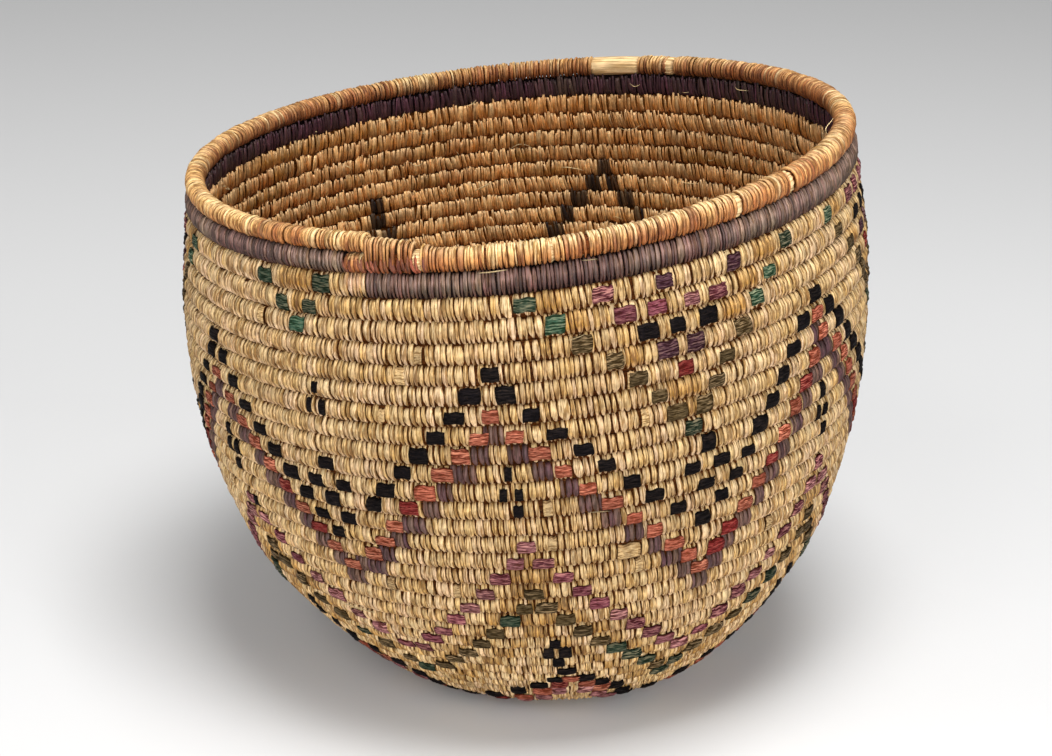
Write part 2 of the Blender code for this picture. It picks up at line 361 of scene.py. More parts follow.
def flatStrip(across, along):
    # A closed thin slab: x and y from -0.5 to 0.5, and z from 0 underneath to 1 on top.
    bm = bmesh.new()
    bmesh.ops.create_cube(bm, size=1.0)
    bmesh.ops.translate(bm, verts=bm.verts, vec=(0, 0, 0.5))
    for axis, cuts in ((0, across - 1), (1, along - 1)):
        edges = [e for e in bm.edges if abs(e.verts[0].co[axis] - e.verts[1].co[axis]) > 0.5]
        bmesh.ops.subdivide_edges(bm, edges=edges, cuts=cuts, use_grid_fill=True)
    bmesh.ops.recalc_face_normals(bm, faces=bm.faces)
    return asShape(bm)


def asShape(bm):
    # The corners and the faces of a workbench shape, for copying.
    bm.verts.index_update()
    shape = {
        "points": np.array([v.co for v in bm.verts]),
        "faces": [[v.index for v in face.verts] for face in bm.faces],
    }
    bm.free()
    return shape


def copiesAsMesh(name, shape, places, dye, lie, along):
    # One mesh of many copies of a shape. Each array holds copies by corners: places, dye, lie and the UV map.
    copies, corners = places.shape[:2]
    sizes = np.array([len(face) for face in shape["faces"]])
    loops = np.concatenate([np.array(face) for face in shape["faces"]])
    loops = (loops[None] + corners * np.arange(copies)[:, None]).ravel()
    sizes = np.tile(sizes, copies)
    mesh = bpy.data.meshes.new(name)
    mesh.vertices.add(copies * corners)
    mesh.vertices.foreach_set("co", places.astype(np.float32).ravel())
    mesh.loops.add(len(loops))
    mesh.loops.foreach_set("vertex_index", loops.astype(np.int32))
    mesh.polygons.add(len(sizes))
    mesh.polygons.foreach_set("loop_start", np.concatenate([[0], np.cumsum(sizes)[:-1]]).astype(np.int32))
    mesh.update(calc_edges=True)
    mesh.shade_smooth()
    colours = mesh.attributes.new("Dye", "FLOAT_COLOR", "POINT")
    colours.data.foreach_set("color", np.broadcast_to(dye, (copies, corners, 4)).astype(np.float32).ravel())
    lies = mesh.attributes.new("Lie", "FLOAT_VECTOR", "POINT")
    lies.data.foreach_set("vector", lie.astype(np.float32).ravel())
    uv = mesh.uv_layers.new(name="Along")
    flat = np.broadcast_to(along, (copies, corners, 2)).reshape(-1, 2)
    uv.data.foreach_set("uv", flat[loops].astype(np.float32).ravel())
    return mesh


def intoScene(name, data):
    made = bpy.data.objects.new(name, data)
    bpy.context.scene.collection.objects.link(made)
    return made


def addPiece(name, meshes, materials, replaced=()):
    # One piece from one or more meshes, each with its own material, riding on the basket.
    total = meshes[0]
    if len(meshes) > 1:
        total = bpy.data.meshes.new(name)
        bm = bmesh.new()
        for index, mesh in enumerate(meshes):
            mesh.polygons.foreach_set("material_index", np.full(len(mesh.polygons), index, np.int32))
            bm.from_mesh(mesh)
            bpy.data.meshes.remove(mesh)
        bm.to_mesh(total)
        bm.free()
    total.name = name
    for material in materials:
        total.materials.append(material)
    piece = intoScene(name, total)
    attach(piece, "root")
    if replaced:
        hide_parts(*replaced)


# The pattern. Rows count down from the rim, and degrees run from the front, positive to the right.

pattern = {
    # Seven mountains round the wall: the apex in degrees, the row of the black one's apex, and its two arms.
    # An arm is where it starts, its step outwards for each row down, and how much the step grows, in degrees.
    "mountains": (
        (-58.5, 6, (0.0, 2.4, 0.0), (0.0, 3.0, 0.02)), (-4.0, 5, (0.0, 2.8, 0.02), (-1.2, 3.5, 0.03)),
        (54.5, 5, (3.1, 2.3, 0.0), (1.3, 3.0, 0.10)), (110.0, 5, (0.0, 2.7, 0.0), (0.0, 2.8, 0.0)),
        (165.0, 6, (0.0, 2.6, 0.0), (0.0, 2.6, 0.0)), (211.5, 7, (0.0, 2.3, 0.0), (0.0, 2.3, 0.0)),
        (256.0, 6, (0.0, 2.5, 0.0), (0.0, 2.45, 0.0)),
    ),
    # rows under the black apex, and the arms
    "rust": {
        -58.5: (2, (1.0, 2.4, 0.0), (1.3, 3.05, 0.0)), -4.0: (2, (-0.9, 2.95, 0.0), (-0.4, 3.62, 0.0)),
        54.5: (1, (0.2, 2.2, 0.01), (0.5, 3.1, 0.0)),
    },
    # rows under the black apex, degrees off it, and the arms
    "plum": (9, 4.0, (-0.6, 2.55, 0.05), (-0.2, 2.8, 0.08)),
    "olive": (12, 5.0, (-0.9, 2.6, 0.09), (-1.2, 2.9, 0.10)),
    "base": (19, 11.0, (0.0, 1.6, 0.85), (0.0, 4.5, 0.0)),
    # The vees that hang from the rim: every patch as rows over the lowest one, degrees off it, and its dye.
    "vee": (
        (0, 0.0, "green"), (1, -2.7, "olive"), (2, -5.7, "olive"), (3, -9.0, "olive"), (4, -12.5, "olive"),
        (5, -17.3, "olive"), (6, -21.0, "teal"), (7, -25.5, "green"), (1, 2.0, "olive"), (2, 4.3, "olive"),
        (3, 6.5, "olive"), (4, 9.8, "olive"), (5, 13.0, "teal"), (6, 16.5, "teal"), (7, 21.0, "green"),
        (3, -1.0, "wine"), (4, -4.0, "aubergine"), (4, 1.0, "aubergine"), (5, -7.0, "black"),
        (5, -2.0, "black"), (5, 3.3, "black"), (6, -10.3, "plum"), (6, -5.3, "plum"),
        (6, 0.7, "fadedPlum"), (6, 5.4, "plum"), (7, -13.5, "plum"), (7, -3.7, "aubergine"),
        (7, 9.0, "aubergine"),
    ),
    # gold stitches in a vee: rows over the lowest patch, degrees off it, and width in degrees
    "veeGold": ((7, -21.5, 4.0), (7, 16.0, 4.5), (6, -17.5, 3.5), (6, 12.3, 4.0), (5, 8.5, 4.5),
                (4, -9.5, 3.0), (2, -1.0, 6.0), (1, 0.0, 2.7)),
    "vees": ((27.0, 9), (82.5, 8), (138.0, 8), (189.0, 8), (234.5, 8), (274.0, 8)),  # degrees, lowest row
    "smallVee": ((2, -43.0, "green"), (2, -31.0, "green"), (3, -39.0, "green"), (3, -33.5, "green"),
                 (4, -36.0, "teal")),
    "smallVeeGold": ((2, -36.0, 0.020), (3, -36.0, 0.007)),  # row, degrees and width in metres
    "diamond": ((-4, 0.0), (-3, -2.7), (-3, 2.7), (-2, 0.0)),  # rows from where two black arms meet
    # black patches in a mountain: rows under its apex, degrees off it, and width in degrees
    "cross": ((5, 1.9, 1.4), (6, 1.0, 1.2), (6, 3.4, 1.5), (7, 3.1, 1.5)),
    "lowCross": ((16, 8.0, 1.8), (17, 7.0, 1.8), (17, 10.2, 2.0), (18, 9.0, 2.0)),
    "specks": ((7, -32.7), (8, -33.9), (8, -31.4), (15, -53.0)),
    "wine": ((12, 41.8), (9, 48.0), (15, 33.5), (15, 28.2), (16, 31.5), (13, -43.2), (15, -34.8),
             (12, -18.0)),  # the patches in the rust arms that are wine red
    "lastRow": {"black": 18, "plum": 25, "olive": 26, "base": 32},  # where arms end at the latest
    "patchWidth": 0.0076,
    "purpleWidth": 0.0080,
    "goldWidth": 0.008,
    "diamondWidth": 0.0068,
    "speckWidth": 0.0028,
    "apart": 0.0085,  # the least distance between two patches on a coil, as part of a turn
    "highestRow": 2,  # the first row under the purple turn
}


def armsDown(apexes, last, lay, keepOff=2.6):
    # Follows every pair of neighbouring arms down until they meet, and calls lay with each row and degrees.
    # Just above the meeting, keepOff is the least distance in degrees for each row that is left.
    valleys = []
    for index, (apex, top, _, right) in enumerate(apexes):
        nextApex, nextTop, left, _ = apexes[(index + 1) % len(apexes)]
        nextApex += 360 * (index == len(apexes) - 1)
        lay(top, apex)
        pairs = []
        for row in range(min(top, nextTop) + 1, last + 1):
            down, nextDown = row - top, row - nextTop
            ours = apex + right[0] + right[1] * down + right[2] * down**2
            theirs = nextApex - left[0] - left[1] * nextDown - left[2] * nextDown**2
            if ours > theirs - 2.0:
                middle = (ours + theirs) / 2
                lay(row, middle)
                valleys.append((row, middle))
                pairs = [(r, min(a, middle - keepOff * (row - r)), max(b, middle + keepOff * (row - r)))
                         for r, a, b in pairs]
                break
            pairs.append((row, ours, theirs))
        for row, ours, theirs in pairs:
            if row > top:
                lay(row, ours)
            if row > nextTop:
                lay(row, theirs)
    return valleys


def buildPattern():
    # Lists the dyed strips and the dyed stitches, both as turn, width in metres and dye.
    strips, stitches = [], []
    chance = np.random.default_rng(11)

    def lay(row, degrees, dye, width=pattern["patchWidth"], into=strips):
        turn = float(turnOn(row, degrees + chance.uniform(-0.2, 0.2)))
        size = width * chance.uniform(0.86, 1.18)
        close = [other for other in into if abs(other[0] - turn) < pattern["apart"]]
        if into is stitches or size < 0.005 or not close:
            into.append((turn, size, dye))

    def mostly(common, rare, every):
        return lambda row, degrees: lay(row, degrees, rare if chance.uniform() < every else common)

    def layStitches(dye, width):
        return lambda row, degrees: lay(row, degrees, dye, width, stitches)

    mountains = pattern["mountains"]
    lastRow = pattern["lastRow"]
    valleys = armsDown(mountains, lastRow["black"], lambda row, degrees: lay(row, degrees, "black"))
    rust = []
    for apex, top, left, right in mountains:
        down, ourLeft, ourRight = pattern["rust"].get(apex, (2, left, right))
        rust.append((apex, top + down, ourLeft, ourRight))

    def layRust(row, degrees):
        seen = any(row == known and abs(degrees - place) < 3.5 for known, place in pattern["wine"])
        lay(row, degrees, "wine" if seen or (abs(degrees) > 70 and chance.uniform() < 0.2) else "rust")

    armsDown(rust, lastRow["black"], layRust)
    inner = [(apex, top + 1, (left[0] + left[1] - 3.2, *left[1:]), (right[0] + right[1] - 3.2, *right[1:]))
             for apex, top, left, right in rust]
    armsDown(inner, lastRow["black"], layStitches("greyPurple", pattern["purpleWidth"]))
    for name, dye in (("plum", mostly("plum", "fadedPlum", 0.35)), ("olive", mostly("olive", "green", 0.2)),
                      ("base", mostly("black", "black", 0))):
        down, aside, left, right = pattern[name]

        def under(more, further, ourLeft=left, ourRight=right):
            return [(apex + aside + further, top + down + more, ourLeft, ourRight)
                    for apex, top, _, _ in mountains]

        armsDown(under(0, 0), lastRow[name], dye)
        if name == "base":
            armsDown(under(1, 1), lastRow[name], mostly("rust", "wine", 0.3))
            armsDown(under(2, 1), lastRow[name], mostly("fadedPlum", "rust", 0.5))
        else:
            golden = under(1, 0.3, (left[0] - 4.0, *left[1:]), (right[0] - 4.0, *right[1:]))
            armsDown(golden, lastRow[name], layStitches("gold", pattern["goldWidth"]))

    for row, degrees in valleys:
        for down, aside in pattern["diamond"]:
            lay(row + down, degrees + aside, "black", pattern["diamondWidth"])
    for apex, top, _, _ in mountains:
        for down, aside, width in (*pattern["cross"], *pattern["lowCross"]):
            lay(top + down, apex + aside, "black", math.radians(width) * 0.14)
    for bottom, low in pattern["vees"]:
        for up, aside, dye in pattern["vee"]:
            if low - up >= pattern["highestRow"]:
                lay(low - up, bottom + aside, dye)
        for up, aside, width in pattern["veeGold"]:
            if low - up >= pattern["highestRow"]:
                lay(low - up, bottom + aside, "gold", math.radians(width) * 0.145, stitches)
    for row, degrees, dye in pattern["smallVee"]:
        lay(row, degrees, dye)
    for row, degrees, width in pattern["smallVeeGold"]:
        lay(row, degrees, "gold", width, stitches)
    for row, degrees in pattern["specks"]:
        lay(row, degrees, "black", pattern["speckWidth"])
    return strips, stitches


stripList, dyedStitchList = buildPattern()

bareForm = {
    "known": ((33.0333, 0.003), (32.0250, 0.0042), (31.1208, 0.003), (29.1264, 0.003), (22.1200, 0.0095),
              (20.0396, 0.003), (23.0854, 0.0035)),  # turn and width
    "others": 22,
    "turns": (8, 34),
    "width": (0.0024, 0.0038),
}


def listBareSpots():
    # Places on the wall where the outer stitches have worn away, as turn and width.
    chance = np.random.default_rng(61)
    spots = list(bareForm["known"])
    while len(spots) < len(bareForm["known"]) + bareForm["others"]:
        turn, width = chance.uniform(*bareForm["turns"]), chance.uniform(*bareForm["width"])
        taken = (*stripList, *dyedStitchList, *spots)
        if all(abs(turn - other[0]) * 0.9 > other[1] + 0.004 for other in taken):
            spots.append((turn, width))
    return spots


bareSpots = listBareSpots()


def inZone(turns, turn, width):
    return np.abs(turns - turn) * metresAround(turn) < width / 2


def underStrips(turns):
    # How far each stitch is pressed down by a dyed strip over it.
    pressed = np.zeros(len(turns))
    for turn, width, _ in stripList:
        pressed[inZone(turns, turn, width)] = stripForm["pressed"]
    return pressed


def dyeStitches(turns, colours, zones):
    # Gives the stitches that lie inside the zones the zones' dyes, with a little variation.
    chance = np.random.default_rng(23)
    for turn, width, dye in zones:
        inside = inZone(turns, turn, width)
        shade = chance.uniform(0.75, 1.2, (inside.sum(), 1))
        taken = chance.uniform(0.85, 1.0, (inside.sum(), 1))
        colours[inside, :3] = colours[inside, :3] * (1 - taken) + dyes[dye][:3] * shade * taken
    return colours


# Stitches

def placesAlong(start, stop, width, spread, seed):
    # The middles and widths of stitches side by side along the spiral, from one turn to another.
    turns = np.linspace(start, stop, 4000)
    steps = np.diff(turns) * metresAround((turns[1:] + turns[:-1]) / 2)
    metres = np.concatenate([[0], np.cumsum(steps)])
    chance = np.random.default_rng(seed)
    widths = width * np.exp(chance.normal(0, spread, int(metres[-1] / width * 1.3) + 8))
    ends = np.cumsum(widths)
    count = int(np.searchsorted(ends, metres[-1]))
    scale = metres[-1] / ends[count - 1]
    middles = (ends[:count] - widths[:count] / 2) * scale
    return np.interp(middles, metres, turns), widths[:count] * scale


def outerPath(turn, along, lift, setting):
    # Up the outer face of a coil, from groove to groove.
    height = coilHeightAt(turn)
    v = setting["bottom"] + (setting["top"] - setting["bottom"]) * along
    u = 2 * v - 1
    dive = np.where(u < 0, setting["dive"], setting["topDive"]) * np.abs(u) ** setting["roundness"]
    tuck = setting["tuck"] * np.clip((np.abs(2 * along - 1) - 0.78) / 0.22, 0, 1)
    return v * height, dive + tuck - lift


def innerPath(turn, along, lift, setting):
    rise, depth = outerPath(turn, along, lift, setting)
    return rise, spiral["thickness"] - depth


def overPath(turn, along, lift, setting):
    # Round the rim's coil, from the groove outside over the top to the groove inside.
    joined = (turn > rimTurn + setting["joinFrom"]) & (turn < rimTurn + 0.9)
    part = (turn - rimTurn) / spiral["tailLength"]
    tail = np.where(joined, np.interp(part, (0, 1, 1.14), (spiral["rimHeight"][0], spiral["tailTip"], 0)), 0)
    height, thick = rimHeightAt(turn), rimHeightAt(turn)
    angle = np.radians(setting["from"] + (setting["to"] - setting["from"]) * along)
    power = 2 / setting["roundness"]
    up, out = squared(-np.cos(angle), power), squared(np.sin(angle), power)
    rise = height / 2 + (height / 2 + lift) * up + tail * np.clip((up + 0.25) / 0.5, 0, 1)
    return rise, thick / 2 - (thick / 2 + lift) * out


def sew(name, shape, turns, widths, path, setting, colours, seed, pressed=0.0):
    # A row of stitches: the shape is stretched along the path, and each copy is given its own small faults.
    chance = np.random.default_rng(seed)
    count = len(turns)
    side, crown, along = axesOf(shape)
    side, crown = side / side.max(), crown * 2
    taper = np.interp(along, np.linspace(0, 1, len(setting["taper"])), setting["taper"])
    gap = chance.uniform(*setting["gap"], count)
    gap += np.where(chance.uniform(0, 1, count) < setting["loose"], chance.uniform(0.10, 0.30, count), 0)
    width = (widths * (1 - gap))[:, None]
    lean = setting["lean"] * wander(turns * 11, seed, *setting["leanDrift"])
    lean = (lean + chance.normal(0, setting["leanSpread"], count))[:, None]
    bow = chance.normal(0, setting["leanSpread"] * 0.6, count)[:, None]
    sweep = 0.5 - np.abs(1 - along) ** setting["sweep"]  # the lower end is bent over more than the upper one
    across = side * width / 2 * taper + lean * sweep + bow * np.sin(math.pi * along)
    ends = dict(setting)
    if "bottom" in setting:
        ends["bottom"] = (setting["bottom"] + chance.normal(0, setting["endSpread"], count))[:, None]
        ends["top"] = (setting["top"] + chance.normal(0, setting["endSpread"], count))[:, None]
    proud = (chance.normal(0, setting["proudSpread"], count) - pressed)[:, None]
    lift = proud + np.where(crown > 0.5, 0, np.where(crown > -0.2, -setting["crown"], -setting["sunk"]))
    lift = lift * np.ones_like(across)
    middle = turns[:, None] * np.ones_like(across)
    rise, depth = path(middle, along, lift, ends)
    turn = middle + across / metresAround(middle)
    uv = grainMap(chance, across * 1000, along * setting["length"] * 1000)
    lie = np.stack(np.broadcast_arrays(side, along, 0 * across), -1)
    colours = colours[:, None, :] * np.ones((count, len(shape["points"]), 1))
    # tones hardly show on dark splints
    paleness = np.clip(colours[..., 1:2] / setting["paleFrom"], 0, 1) ** 2
    for tone, (low, high), most in setting.get("tones", ()):
        share = most * np.clip(1 - np.abs(2 * along - low - high) / (high - low), 0, 1)[..., None]
        colours = blend(colours, tone, share * paleness)
    return copiesAsMesh(name, shape, intoPlace(turn, rise, depth), colours, lie, uv)


outerSewing = {
    "width": 0.00232, "spread": 0.24, "gap": (-0.01, 0.13), "loose": 0.24, "length": 0.0085,
    "lean": -0.00085, "leanDrift": (0.1, 1.7), "leanSpread": 0.00027, "sweep": 1.7,
    "bottom": -0.08, "top": 1.04, "endSpread": 0.045, "dive": 0.0020, "topDive": 0.0017, "roundness": 3.0,
    "tuck": 0.0003, "crown": 0.00052, "sunk": 0.0013, "proudSpread": 0.00014,
    "places": (0, 0.14, 0.38, 0.66, 0.90, 1), "taper": (0.18, 0.64, 0.95, 1.0, 0.97, 0.58),
    # a tone is a dye, the stretch of the stitch that it lies on, and its share in the middle of that. The
    # cream on the upper end is a painted highlight, where the light from above falls
    "tones": (
        ("pinkTip", (-0.30, 0.32), 0.60), ("goldStraw", (0.20, 0.72), 0.35), ("cream", (0.58, 1.10), 0.36),
    ),
    "paleFrom": 0.15,  # dyes darker than this take less of the tones
}
# On the purple turn the pale mauve is a painted highlight on the upper part of each stitch, and the stem
# colour on its lower end is painted shade
purpleSewing = dict(outerSewing, width=0.00165, gap=(-0.02, 0.12), loose=0.16, paleFrom=0.03, top=1.10,
                    topDive=0.0012,
                    tones=(("mauveHighlight", (0.42, 1.04), 0.34), ("stemShade", (-0.3, 0.34), 0.6)))
innerSewing = {
    "width": 0.00128, "spread": 0.34, "gap": (-0.34, 0.0), "loose": 0.08, "length": 0.0088,
    "lean": 0.0011, "leanDrift": (-0.4, 2.0), "leanSpread": 0.00060, "sweep": 1.3,
    "bottom": -0.04, "top": 1.05, "endSpread": 0.075, "dive": 0.0016, "topDive": 0.0001, "roundness": 2.4,
    "tuck": 0.0, "crown": 0.00042, "sunk": 0.0012, "proudSpread": 0.00028,
    "places": (0, 0.2, 0.55, 0.85, 1), "taper": (0.7, 1.0, 1.0, 0.94, 0.58),
    # the gold on the tips is a painted highlight, and the russet on the lower ends painted shadow
    "tones": (("innerTipHighlight", (0.60, 1.30), 0.95), ("russet", (-0.6, 0.62), 0.55)), "paleFrom": 0.15,
}
# the purple turn inside has painted shade on its upper ends, under the rim
innerPurpleSewing = dict(innerSewing, tones=(("stemShade", (0.5, 1.5), 0.3),))
rimSewing = {
    "width": 0.00155, "spread": 0.26, "gap": (0.05, 0.17), "loose": 0.16, "length": 0.024,
    "lean": -0.0007, "leanDrift": (-0.2, 1.6), "leanSpread": 0.00032, "sweep": 1.3,
    "from": 14, "to": 346, "roundness": 2.15,  # degrees round the coil, from below outside to below inside
    "crown": 0.00042, "sunk": 0.0012, "proudSpread": 0.00015, "taper": (0.6, 0.95, 1, 1, 1, 0.95, 0.6),
    "joinFrom": 0.0105,  # where the stitches begin to go over the tail as well
    # painted light: a highlight on the top of the coil, and painted shade on its lower sides, russet outside
    # and dark russet inside
    "tones": (
        ("rimTip", (0.24, 0.70), 0.95), ("russet", (-0.30, 0.32), 0.75), ("darkRusset", (0.54, 1.2), 0.9),
    ),
    "paleFrom": 0.15,
}
# the same painted highlight and shade on the stitches over the tail
overTailSewing = dict(rimSewing, tones=(("rimTip", (0.05, 0.75), 1.10), ("darkRusset", (0.50, 1.2), 0.9)))
tailSewing = dict(rimSewing, width=0.0018, to=122, length=0.007, taper=(0.5, 0.9, 1, 0.9, 0.4), tones=(),
                  joinFrom=1.0, loose=0.4, leanSpread=0.0006)

outerStitch = straightRod(6, 5, outerSewing["places"])
innerStitch = straightRod(4, 4, innerSewing["places"])
overStitch = straightRod(6, 14)
shortStitch = straightRod(6, 5)  # over the knot and over the tail


def strawColours(turns, seed):
    # Straw in all its shades, with streaks of a lighter or browner lot of grass along a turn.
    chance = np.random.default_rng(seed)
    count = len(turns)
    lot = wander(turns * 23, seed + 1)[:, None]
    tone = np.clip(chance.normal(0.5, 0.24, (count, 1)) + 0.6 * (lot - 0.5), 0, 1)
    colour = blend(blend(dyes["tanStraw"], "paleStraw", tone), "straw", 0.4)
    hue = chance.normal(0, 0.30, (count, 1)) + 0.5 * (wander(turns * 31, seed + 2)[:, None] - 0.5)
    golden, pink = np.clip(hue, 0, 0.7), np.clip(-hue, 0, 0.6)
    colour = colour * (1 - golden - pink) + dyes["goldStraw"] * golden + dyes["pinkStraw"] * pink
    dyeSome(colour, chance, 0.035, "brownStraw", 0.6)
    low = np.clip((26 - turns[:, None]) / 16, 0, 1)  # the lower rows are painted paler, as light thrown up from the pale floor
    colour[:, :3] *= chance.uniform(0.84, 1.12, (count, 1)) * (1 + 0.26 * low)
    return colour


def innerColours(turns, seed):
    chance = np.random.default_rng(seed)
    count = len(turns)
    high = np.clip((turns[:, None] - 28) / 9, 0, 1)  # the upper rows inside are painted browner and darker, as shade under the rim
    tone = np.clip(chance.normal(0.66, 0.28, (count, 1)) - 0.50 * high, 0, 1)
    colour = blend(dyes["innerBrown"], "innerGold", tone)
    dyeSome(colour, chance, 0.10, "straw", 0.6)
    patch = wander(turns * 57, seed + 3)[:, None] ** 2  # short stretches of browner, oranger or greener grass
    lot = wander(turns * 31, seed + 4)[:, None]
    patchDye = np.where(lot < 0.4, dyes["brownStraw"], np.where(lot < 0.7, dyes["gold"], dyes["orange"]))
    colour = colour * (1 - 0.75 * patch) + patchDye * 0.75 * patch
    colour[:, :3] *= chance.uniform(0.80, 1.18, (count, 1)) * (1.03 - 0.18 * high)
    return colour


def rimColours(turns, seed):
    chance = np.random.default_rng(seed)
    count = len(turns)
    lot = wander(turns * 30, seed + 1)[:, None]
    tone = np.clip(chance.normal(0.40, 0.22, (count, 1)) + 0.9 * (lot - 0.5), 0, 1)
    colour = blend(dyes["orange"], "honey", tone)
    dyeSome(colour, chance, 0.20 * lot[:, 0], "cream", 0.5)
    dyeSome(colour, chance, 0.10, "russet", 0.5)
    colour[:, :3] *= chance.uniform(0.77, 1.02, (count, 1))
    return colour


def purpleColours(turns, seed, inside=False):
    chance = np.random.default_rng(seed)
    count = len(turns)
    faded = 1.1 * (wander(turns * 38, seed + 1) - 0.5)[:, None]  # stretches where the purple has gone brown
    tone = np.clip(chance.normal(0.18, 0.26, (count, 1)) + faded, 0, 1)
    base = dyes["innerPurple"] if inside else dyes["purpleBrown"]
    colour = base * (1 - tone * 0.7) + dyes["greyBrown"] * (0.3 if inside else 1.0) * tone * 0.7
    shade = 0.33 + 0.60 * chance.uniform(0, 1, (count, 1)) ** 2  # most are dark, a few much paler
    colour[:, :3] *= shade * (1.1 if inside else 1.0)
    if not inside:
        # the turn changes from straw to purple over its first stitches
        late = np.clip((turns - (rimTurn - 1) - 0.004) / 0.012, 0, 1)
        straw = chance.uniform(0, 1, count) > late
        colour[straw] = strawColours(turns, seed)[straw]
    return colour


# The bundle inside each turn

bundleForm = {"inset": 0.0017, "bareInset": 0.0007, "ridge": 0.00025, "overlap": 0.0005, "roundness": 2.4}


def bundle(name, start, stop, over=False, sides=16, steps=96, pale=None, dye="stemShade"):
    # The grass stems that the stitches wrap, as one ridged rod bent along the spiral. The rim's is over=True.
    # It is painted dark as the shade in the gaps between the stitches, and the rim's is pale only where it is
    # bare.
    shape = straightRod(sides, steps)
    x, y, along = axesOf(shape)
    angle = np.arctan2(y, x)
    turn = start + (stop - start) * along
    height, thick = coilHeightAt(turn), spiral["thickness"]
    inset, overlap = bundleForm["inset"], bundleForm["overlap"]
    wave = wander(along * 40 + 7 * np.round(angle * sides / 2 / math.pi), 5, -1, 1)
    ridge = bundleForm["ridge"] * (np.cos(angle * sides / 2) + 0.7 * wave)
    if over:
        height = thick = rimHeightAt(turn)
        inset = np.where(pale(turn) > 0, bundleForm["bareInset"], inset)
    reach = ridge - inset
    power = 2 / bundleForm["roundness"]
    up, out = squared(np.sin(angle), power), squared(np.cos(angle), power)
    rise = height / 2 + (height / 2 + (reach if over else overlap)) * up
    depth = thick / 2 - (thick / 2 + reach) * out
    metres = along * (stop - start) * metresAround(turn)
    uv = np.stack([angle * 4 + 3 * start, metres * 1000 / 4], -1)
    if over:
        bare = pale(turn)[..., None]
        tint = blend(dyes[dye], "bareStem", bare)
    else:
        # painted shade, paler towards the inside where the gaps are less shaded, but not where the inside is
        # dyed
        within = 0.0 if dye == "innerBlack" else np.clip(0.5 - out * 2, 0, 1)[..., None]
        tint = blend(dyes[dye], "innerStem", within)
    return copiesAsMesh(name, shape, intoPlace(turn, rise, depth), tint, plainLie(along), uv)


# Dyed strips

stripForm = {
    "across": 5, "along": 9, "thickness": 0.0005, "proud": 0.00012, "crease": 0.00024, "bulge": 0.00022,
    "dive": 0.0016, "roundness": 3.0, "pressed": 0.00045, "low": (0.04, 0.30), "high": (0.70, 0.98),
    # how much each dye pales on its crease crests: worn dye and a painted sheen
    "wornAndSheen": {
        "black": 0.05, "rust": 0.7, "wine": 0.45, "plum": 0.9, "fadedPlum": 0.9, "aubergine": 0.5,
        "green": 0.7, "teal": 0.8, "olive": 0.6,
    },
}
bareStripForm = dict(stripForm, proud=-0.0003, crease=0.00026, bulge=0.0001, low=(0.08, 0.22),
                     high=(0.90, 0.98), dive=0.0020, wornAndSheen={"straw": 0.0})
stripShape = flatStrip(stripForm["across"], stripForm["along"])


def layStrips(name, strips, seed, form):
    # Strips of dyed splint laid flat along a coil over its stitches, creased and a little crooked.
    chance = np.random.default_rng(seed)
    count = len(strips)
    turns = np.array([strip[0] for strip in strips])
    widths = np.array([strip[1] for strip in strips]) / metresAround(turns)
    tint = np.array([dyes[strip[2]] for strip in strips])
    tint[:, :3] *= chance.uniform(0.75, 1.25, (count, 1))
    wornAndSheen = np.array([form["wornAndSheen"][strip[2]] for strip in strips])[:, None]
    wornAndSheen = wornAndSheen * chance.uniform(0.3, 1.3, (count, 1))
    x, y, z = axesOf(stripShape)
    low, high = (
        wander(turns * 11, seed + i, *form[end])[:, None] + chance.normal(0, 0.03, (count, 1))
        for i, end in enumerate(("low", "high"))
    )
    pinch = 1 - 0.16 * np.abs(2 * y) ** 3 * chance.uniform(0, 1, (count, 1))
    slant = chance.normal(0, 0.06, (count, 1))
    turn = turns[:, None] + widths[:, None] * (x * pinch + slant * y)
    ragged = 0.03 * np.sin(x * 9 + chance.uniform(0, 6, (count, 1))) * np.abs(2 * y)
    v = low + (high - low) * (y + 0.5) + ragged
    phase = chance.uniform(0, 6.3, (count, 3))
    creases = (
        np.sin(y * 19 + 1.5 * np.sin(x * 4 + phase[:, :1]) + phase[:, 1:2])
        + 0.6 * np.sin(y * 29 + x * 4 * np.cos(phase[:, 2:]) + phase[:, 2:])
    )
    edge = np.clip((1 - np.abs(2 * x) ** 6) * (1 - np.abs(2 * y) ** 8), 0, 1)
    lift = form["proud"] * (0.35 + 0.65 * edge) + form["bulge"] * edge + form["crease"] * creases * edge
    dive = form["dive"] * np.abs(2 * v - 1) ** form["roundness"]
    depth = dive - lift * z + form["thickness"] * (1 - z)
    uv = grainMap(chance, y * 9 + 0 * turn, x * widths[:, None] * metresAround(turn) * 1500)
    # the crease crests are paler: worn dye and a painted sheen
    wearAndSheen = np.clip(0.7 + creases * 0.5, 0, 1) * wornAndSheen * z
    lie = np.stack([2 * x + 0 * turn, np.clip(y + 0.5, 0, 1) + 0 * turn, wearAndSheen], -1)
    places = intoPlace(turn, v * coilHeightAt(turn), depth)
    return copiesAsMesh(name, stripShape, places, tint[:, None, :], lie, uv)


# Building the basket, turn by turn

def nodeOfTurn(turn):
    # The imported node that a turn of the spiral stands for.
    if turn < 0:
        return "start_knot"
    flat = spiral["flatTurns"]
    if turn < flat:
        return f"base_turn_{turn + 1:02d}"
    return f"wall_turn_{turn + 1 - flat:02d}" if turn < rimTurn - 1 else "purple_turn"


